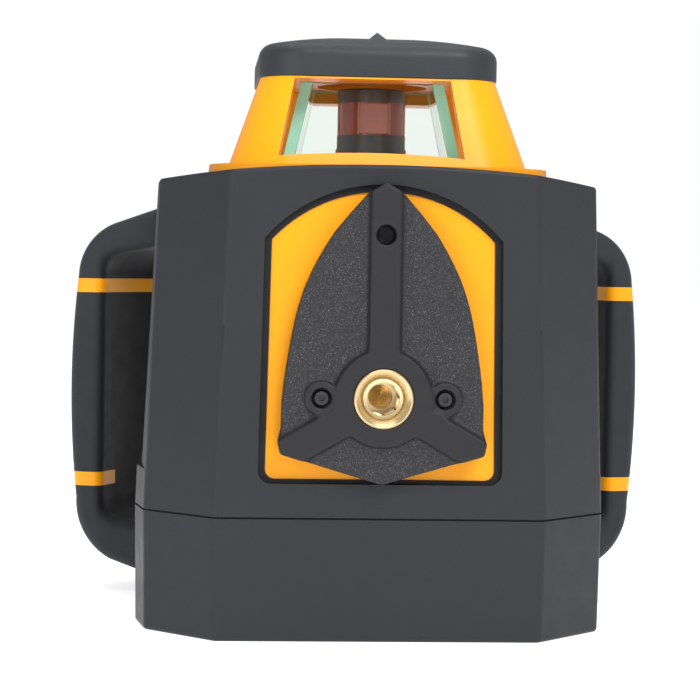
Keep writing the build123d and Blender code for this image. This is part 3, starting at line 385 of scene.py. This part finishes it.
def place_piece(piece, body, slot, looks_used, *replaced):
    """Links a finished piece, gives it its materials, hangs it on the body it rides on and hides the CAD
    parts it replaces.
    """
    if piece.name not in bpy.context.collection.objects:
        bpy.context.collection.objects.link(piece)
    piece.data.materials.clear()
    for look in looks_used:
        piece.data.materials.append(look)
    if replaced:
        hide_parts(*replaced)
    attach(piece, body)
    return piece


def mesh_piece(name, points, faces):
    mesh = bpy.data.meshes.new(name)
    mesh.from_pydata(points, [], faces)
    mesh.validate()
    bm = bmesh.new()
    bm.from_mesh(mesh)
    bmesh.ops.recalc_face_normals(bm, faces=bm.faces)
    bm.to_mesh(mesh)
    bm.free()
    return bpy.data.objects.new(name, mesh)


def node_copy(node, name):
    """A new piece that starts from a CAD node's mesh, with its doubled points joined."""
    mesh = frame["nodes"][node].data.copy()
    mesh.name = name
    bm = bmesh.new()
    bm.from_mesh(mesh)
    bmesh.ops.remove_doubles(bm, verts=bm.verts, dist=1e-6)
    bmesh.ops.dissolve_limit(bm, angle_limit=math.radians(0.5), verts=bm.verts, edges=bm.edges)
    bm.to_mesh(mesh)
    bm.free()
    piece = bpy.data.objects.new(name, mesh)
    bpy.context.collection.objects.link(piece)
    return piece


def apply_modifiers(piece):
    """Bakes a piece's modifiers into its mesh."""
    bpy.context.view_layer.update()
    graph = bpy.context.evaluated_depsgraph_get()
    mesh = bpy.data.meshes.new_from_object(piece.evaluated_get(graph))
    piece.modifiers.clear()
    piece.data = mesh


def smooth_by_angle(mesh, degrees):
    """Smooth shading with sharp edges where the faces turn more than this."""
    bm = bmesh.new()
    bm.from_mesh(mesh)
    for face in bm.faces:
        face.smooth = True
    for edge in bm.edges:
        sharp = len(edge.link_faces) == 2 and edge.calc_face_angle(0.0) > math.radians(degrees)
        edge.smooth = not sharp
    bm.to_mesh(mesh)
    bm.free()


def turned(name, rings, segments, to_place):
    """A lathe-turned closed solid. Each ring is (height, radius), the radius a number or a
    function of the angle; to_place turns (radius, angle, height) into a point."""
    points, faces = [], []
    for height, radius in rings:
        for step in range(segments):
            angle = math.tau * step / segments
            points.append(to_place(radius(angle) if callable(radius) else radius, angle, height))
    count = len(rings)
    for ring in range(count):
        after = (ring + 1) % count
        for step in range(segments):
            beside = (step + 1) % segments
            faces.append((ring * segments + step, ring * segments + beside,
                          after * segments + beside, after * segments + step))
    return mesh_piece(name, points, faces)


def thread_rings(start, end, steps_per_pitch=8):
    """Rings of an internal thread between two heights, with run-outs at both ends."""
    count = round(abs(end - start) / THREAD_PITCH * steps_per_pitch)
    rings = []
    for step in range(count + 1):
        height = start + (end - start) * step / count
        fade = min(1.0, step / steps_per_pitch, (count - step) / steps_per_pitch)

        def radius(angle, height=height, fade=fade):
            phase = (height / THREAD_PITCH - angle / math.tau) % 1.0
            groove = max(0.0, min(1.0, 2.6 * (0.5 - abs(2 * phase - 1)) + 0.5))
            return THREAD_MINOR + (THREAD_MAJOR - THREAD_MINOR) * groove * fade
        rings.append((height, radius))
    return rings


def make_side_insert():
    """Turned brass insert: flat ring, countersunk mouth, tapped hole and drill point."""
    low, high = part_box("side_socket")
    centre_z = (low[2] + high[2]) / 2
    outer = (high[0] - low[0]) / 2
    front, rear = low[1], high[1]
    rings = [(rear, outer), (front + 0.0004, outer), (front, outer - 0.0004), (front, 0.0112),
             (front + 0.0003, 0.0109), (front + 0.0016, 0.0092), (front + 0.0036, 0.0080)]
    rings += thread_rings(front + 0.0038, rear - 0.0060)
    rings += [(rear - 0.0060, 0.0050), (rear - 0.0040, 0.0050), (rear - 0.0014, 0.00002),
              (rear, 0.00002)]
    piece = turned("brass_insert", rings, 72,
                   lambda r, a, y: (r * math.cos(a), y, centre_z + r * math.sin(a)))
    smooth_by_angle(piece.data, 24)
    return place_piece(piece, BODY_OF["side_socket"], "brass", [looks["brass"]], "side_socket")


def make_tripod_insert():
    """The brass bush under the base, tapped right through."""
    low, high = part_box("tripod_socket")
    outer = (high[0] - low[0]) / 2
    bottom, top = low[2], high[2]
    rings = [(top, outer), (bottom + 0.0004, outer), (bottom, outer - 0.0004), (bottom, 0.0084),
             (bottom + 0.0012, 0.0074)]
    rings += thread_rings(bottom + 0.0014, top - 0.0004) + [(top, 0.0070)]
    piece = turned("tripod_insert", rings, 72, lambda r, a, z: (r * math.cos(a), r * math.sin(a), z))
    smooth_by_angle(piece.data, 24)
    return place_piece(piece, BODY_OF["tripod_socket"], "brass", [looks["brass"]], "tripod_socket")


def make_cast_plate():
    """The sand-cast plate: soft corners and a grain on its front, coarser on the webs than on the ribs."""
    piece = node_copy("mount_plate", "cast_plate")
    remesh = piece.modifiers.new("remesh", "REMESH")
    remesh.mode = "VOXEL"
    remesh.voxel_size = 0.0008
    soften = piece.modifiers.new("soften", "SMOOTH")
    soften.factor = 0.5
    soften.iterations = 3
    apply_modifiers(piece)
    low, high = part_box("side_socket")
    centre = Vector((0, 0, (low[2] + high[2]) / 2))
    mesh = piece.data
    normals = [vertex.normal.copy() for vertex in mesh.vertices]
    for vertex, normal in zip(mesh.vertices, normals):
        spot = vertex.co
        from_hub = math.hypot(spot.x, spot.z - centre.z)
        if from_hub < HUB_SMOOTH or normal.y > -0.6:
            continue
        depth = 0.00009 if spot.y < PLATE_FRONT + 0.0012 else 0.00022
        grain = noise.fractal(spot * 620.0, 0.6, 2.1, 3)
        vertex.co = spot + normal * grain * depth
    for polygon in mesh.polygons:
        polygon.use_smooth = True
    return place_piece(piece, BODY_OF["mount_plate"], "cast_plate", [looks["cast_plate"]], "mount_plate")


def square_ring(half, corner, height, steps=10):
    """Points of a square with round corners, all the way round at one height."""
    points = []
    for quarter in range(4):
        facing = math.radians(45 + 90 * quarter)
        centre_x = math.copysign(half - corner, math.cos(facing))
        centre_y = math.copysign(half - corner, math.sin(facing))
        for step in range(steps + 1):
            angle = math.radians(90 * quarter + 90 * step / steps)
            x = centre_x + corner * math.cos(angle)
            y = centre_y + corner * math.sin(angle)
            points.append((x, y, height))
    return points


CAP_SHOULDER = 0.0064                  # radius of the cap's shoulder
CAP_SHOULDER_END = 75                  # degrees of it, then the dome begins
CAP_SIDE = 0.0085                      # height of the cap's upright side
CAP_CORNER = 0.020                     # radius of its corners seen from above
CAP_RECESS = 0.0382                    # half width of the recess underneath
CAP_RECESS_CORNER = 0.0116
CAP_RECESS_DEEP = 0.0080
CAP_DOME_RINGS = 12
SIGHT_RISE = 0.0014                    # how far the sights stand above the middle of the dome
SIGHT_Y, SIGHT_FOOT, SIGHT_TALL = 0.024, 0.0052, 0.0045


def cap_rings(half, bottom, crown):
    """The cap's shell from the recess, round the rim and the shoulder, to the middle of the dome."""
    ceiling = bottom + CAP_RECESS_DEEP
    rings = [square_ring(0.0002, 0.0001, ceiling),
             square_ring(CAP_RECESS, CAP_RECESS_CORNER, ceiling),
             square_ring(CAP_RECESS, CAP_RECESS_CORNER, bottom),
             square_ring(half - 0.0004, CAP_CORNER - 0.0004, bottom),
             square_ring(half, CAP_CORNER, bottom + 0.0004)]
    side_top = bottom + CAP_SIDE
    for step in range(9):
        angle = math.radians(CAP_SHOULDER_END * step / 8)
        reach = half - CAP_SHOULDER + CAP_SHOULDER * math.cos(angle)
        rings.append(square_ring(reach, CAP_CORNER * reach / half, side_top + CAP_SHOULDER * math.sin(angle)))
    fall = crown - (side_top + CAP_SHOULDER * math.sin(math.radians(CAP_SHOULDER_END)))
    edge = half - CAP_SHOULDER + CAP_SHOULDER * math.cos(math.radians(CAP_SHOULDER_END))
    for step in range(1, CAP_DOME_RINGS + 1):
        part = 1 - step / (CAP_DOME_RINGS + 0.05)
        rings.append(square_ring(edge * part, 0.38 * edge * part, crown - fall * part * part))
    return rings


def make_cap():
    """The moulded cap: a round shoulder, a low pillow dome and two sight points on top."""
    low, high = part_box("top_cap")
    tip = high[2]
    rings = cap_rings(high[0], low[2], tip - SIGHT_RISE)
    points = [point for ring in rings for point in ring]
    count = len(rings[0])
    faces = [tuple(range(count)), tuple(range(len(points) - count, len(points)))]
    for ring in range(len(rings) - 1):
        for step in range(count):
            beside = (step + 1) % count
            faces.append((ring * count + step, ring * count + beside,
                          (ring + 1) * count + beside, (ring + 1) * count + step))
    for y in (-SIGHT_Y, SIGHT_Y):
        first, foot = len(points), tip - SIGHT_TALL
        points += [(-SIGHT_FOOT, y - SIGHT_FOOT, foot), (SIGHT_FOOT, y - SIGHT_FOOT, foot),
                   (SIGHT_FOOT, y + SIGHT_FOOT, foot), (-SIGHT_FOOT, y + SIGHT_FOOT, foot), (0, y, tip)]
        faces += [(first, first + 1, first + 2, first + 3)]
        faces += [(first + i, first + (i + 1) % 4, first + 4) for i in range(4)]
    piece = mesh_piece("cap_cover", points, faces)
    smooth_by_angle(piece.data, 35)
    return place_piece(piece, BODY_OF["top_cap"], "charcoal_plastic", [looks["cap_plastic"]], "top_cap")


def make_panes(node, name, edge_axis):
    """Glass panes with ground edges: the edges are the faces that look along edge_axis, up or down."""
    piece = node_copy(node, name)
    bevel = piece.modifiers.new("bevel", "BEVEL")
    bevel.width = 0.0003
    bevel.segments = 2
    bevel.limit_method = "ANGLE"
    apply_modifiers(piece)
    place_piece(piece, BODY_OF[node], "pane_glass", [looks["pane_glass"], looks["glass_edge"]], node)
    for polygon in piece.data.polygons:
        along = abs(polygon.normal[edge_axis]) > 0.8 or abs(polygon.normal.z) > 0.8
        polygon.material_index = 1 if along else 0
    return piece


def make_beam_port():
    """Flat glass port on the rotor's window, where the beam leaves, between two clamping strips."""
    low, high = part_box("rotor_window")
    middle = (low[2] + high[2]) / 2
    front = low[1]
    half_width = 0.0062
    half_height = 0.0064
    boxes = [(-half_width, half_width, front - 0.0001, front + 0.0020, half_height)]
    for side in (-1, 1):
        edge = side * (half_width + 0.0005)
        boxes.append((edge - 0.0004, edge + 0.0004, front - 0.0004, front + 0.0020, half_height + 0.0004))
    points, faces = [], []
    for x0, x1, y0, y1, half in boxes:
        first = len(points)
        points += [(x, y, middle + z) for z in (-half, half)
                   for x, y in ((x0, y0), (x1, y0), (x1, y1), (x0, y1))]
        faces += [tuple(first + i for i in quad) for quad in (
            (0, 1, 2, 3), (4, 5, 6, 7), (0, 1, 5, 4), (1, 2, 6, 5), (2, 3, 7, 6), (3, 0, 4, 7))]
    piece = mesh_piece("beam_port", points, faces)
    bpy.context.collection.objects.link(piece)
    bevel = piece.modifiers.new("bevel", "BEVEL")
    bevel.width = 0.00015
    bevel.segments = 2
    apply_modifiers(piece)
    return place_piece(piece, "rotor", "red_window", [looks["port_glass"]])


def stroke(start, end, width):
    """Outline of one straight stroke of a symbol."""
    (x0, z0), (x1, z1) = start, end
    length = math.hypot(x1 - x0, z1 - z0)
    nx, nz = -(z1 - z0) / length * width / 2, (x1 - x0) / length * width / 2
    return [(x0 + nx, z0 + nz), (x1 + nx, z1 + nz), (x1 - nx, z1 - nz), (x0 - nx, z0 - nz)]


def arc_strokes(radius, start, end, count, width):
    angles = [math.radians(start + (end - start) * i / count) for i in range(count + 1)]
    dots = [(radius * math.cos(a), radius * math.sin(a)) for a in angles]
    return [stroke(a, b, width) for a, b in zip(dots, dots[1:])]


THIN = 0.0007                          # width of a symbol's strokes
SYMBOLS = {
    "power_key": arc_strokes(0.0027, 125, 415, 20, THIN) + [stroke((0, 0.0006), (0, 0.0036), THIN)],
    "speed_key": arc_strokes(0.0027, 20, 330, 22, THIN)
                 + [[(0.0016, 0.0010), (0.0040, 0.0012), (0.0026, 0.0030)]],
    "scan_key": [stroke((-0.0022, 0), (0.0022, 0), THIN),
                 [(-0.0038, 0), (-0.0020, -0.0014), (-0.0020, 0.0014)],
                 [(0.0038, 0), (0.0020, 0.0014), (0.0020, -0.0014)]],
    "tilt_key": [stroke((-0.0034, -0.0020), (0.0034, -0.0020), THIN),
                 stroke((-0.0034, -0.0018), (0.0030, 0.0022), THIN)],
    "arrow_left_key": [[(0.0030, 0), (-0.0020, -0.0028), (-0.0020, 0.0028)]],
    "arrow_right_key": [[(-0.0030, 0), (0.0020, 0.0028), (0.0020, -0.0028)]],
}


def make_symbol(key, outlines):
    """A raised generic symbol on a key of the rear panel; x runs to the left seen from behind."""
    low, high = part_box(key)
    x, z, face = (low[0] + high[0]) / 2, (low[2] + high[2]) / 2, high[1]
    points, faces = [], []
    for outline in outlines:
        first, count = len(points), len(outline)
        points += [(x + a, y, z + b) for y in (face - 0.0002, face + 0.0002) for a, b in outline]
        faces += [tuple(first + i for i in range(count)), tuple(first + count + i for i in range(count))]
        faces += [(first + i, first + (i + 1) % count, first + count + (i + 1) % count, first + count + i)
                  for i in range(count)]
    piece = mesh_piece(key + "_symbol", points, faces)
    return place_piece(piece, BODY_OF[key], "key_rubber", [looks["symbol_ink"]])


def make_pieces():
    make_cast_plate()
    make_side_insert()
    make_tripod_insert()
    make_panes("side_panes", "side_glass", 1)
    make_panes("end_panes", "end_glass", 0)
    make_beam_port()
    make_cap()
    for key, outlines in SYMBOLS.items():
        make_symbol(key, outlines)


make_camera()
make_world()
make_lights()
make_floor()
looks = dress_frame()
make_pieces()
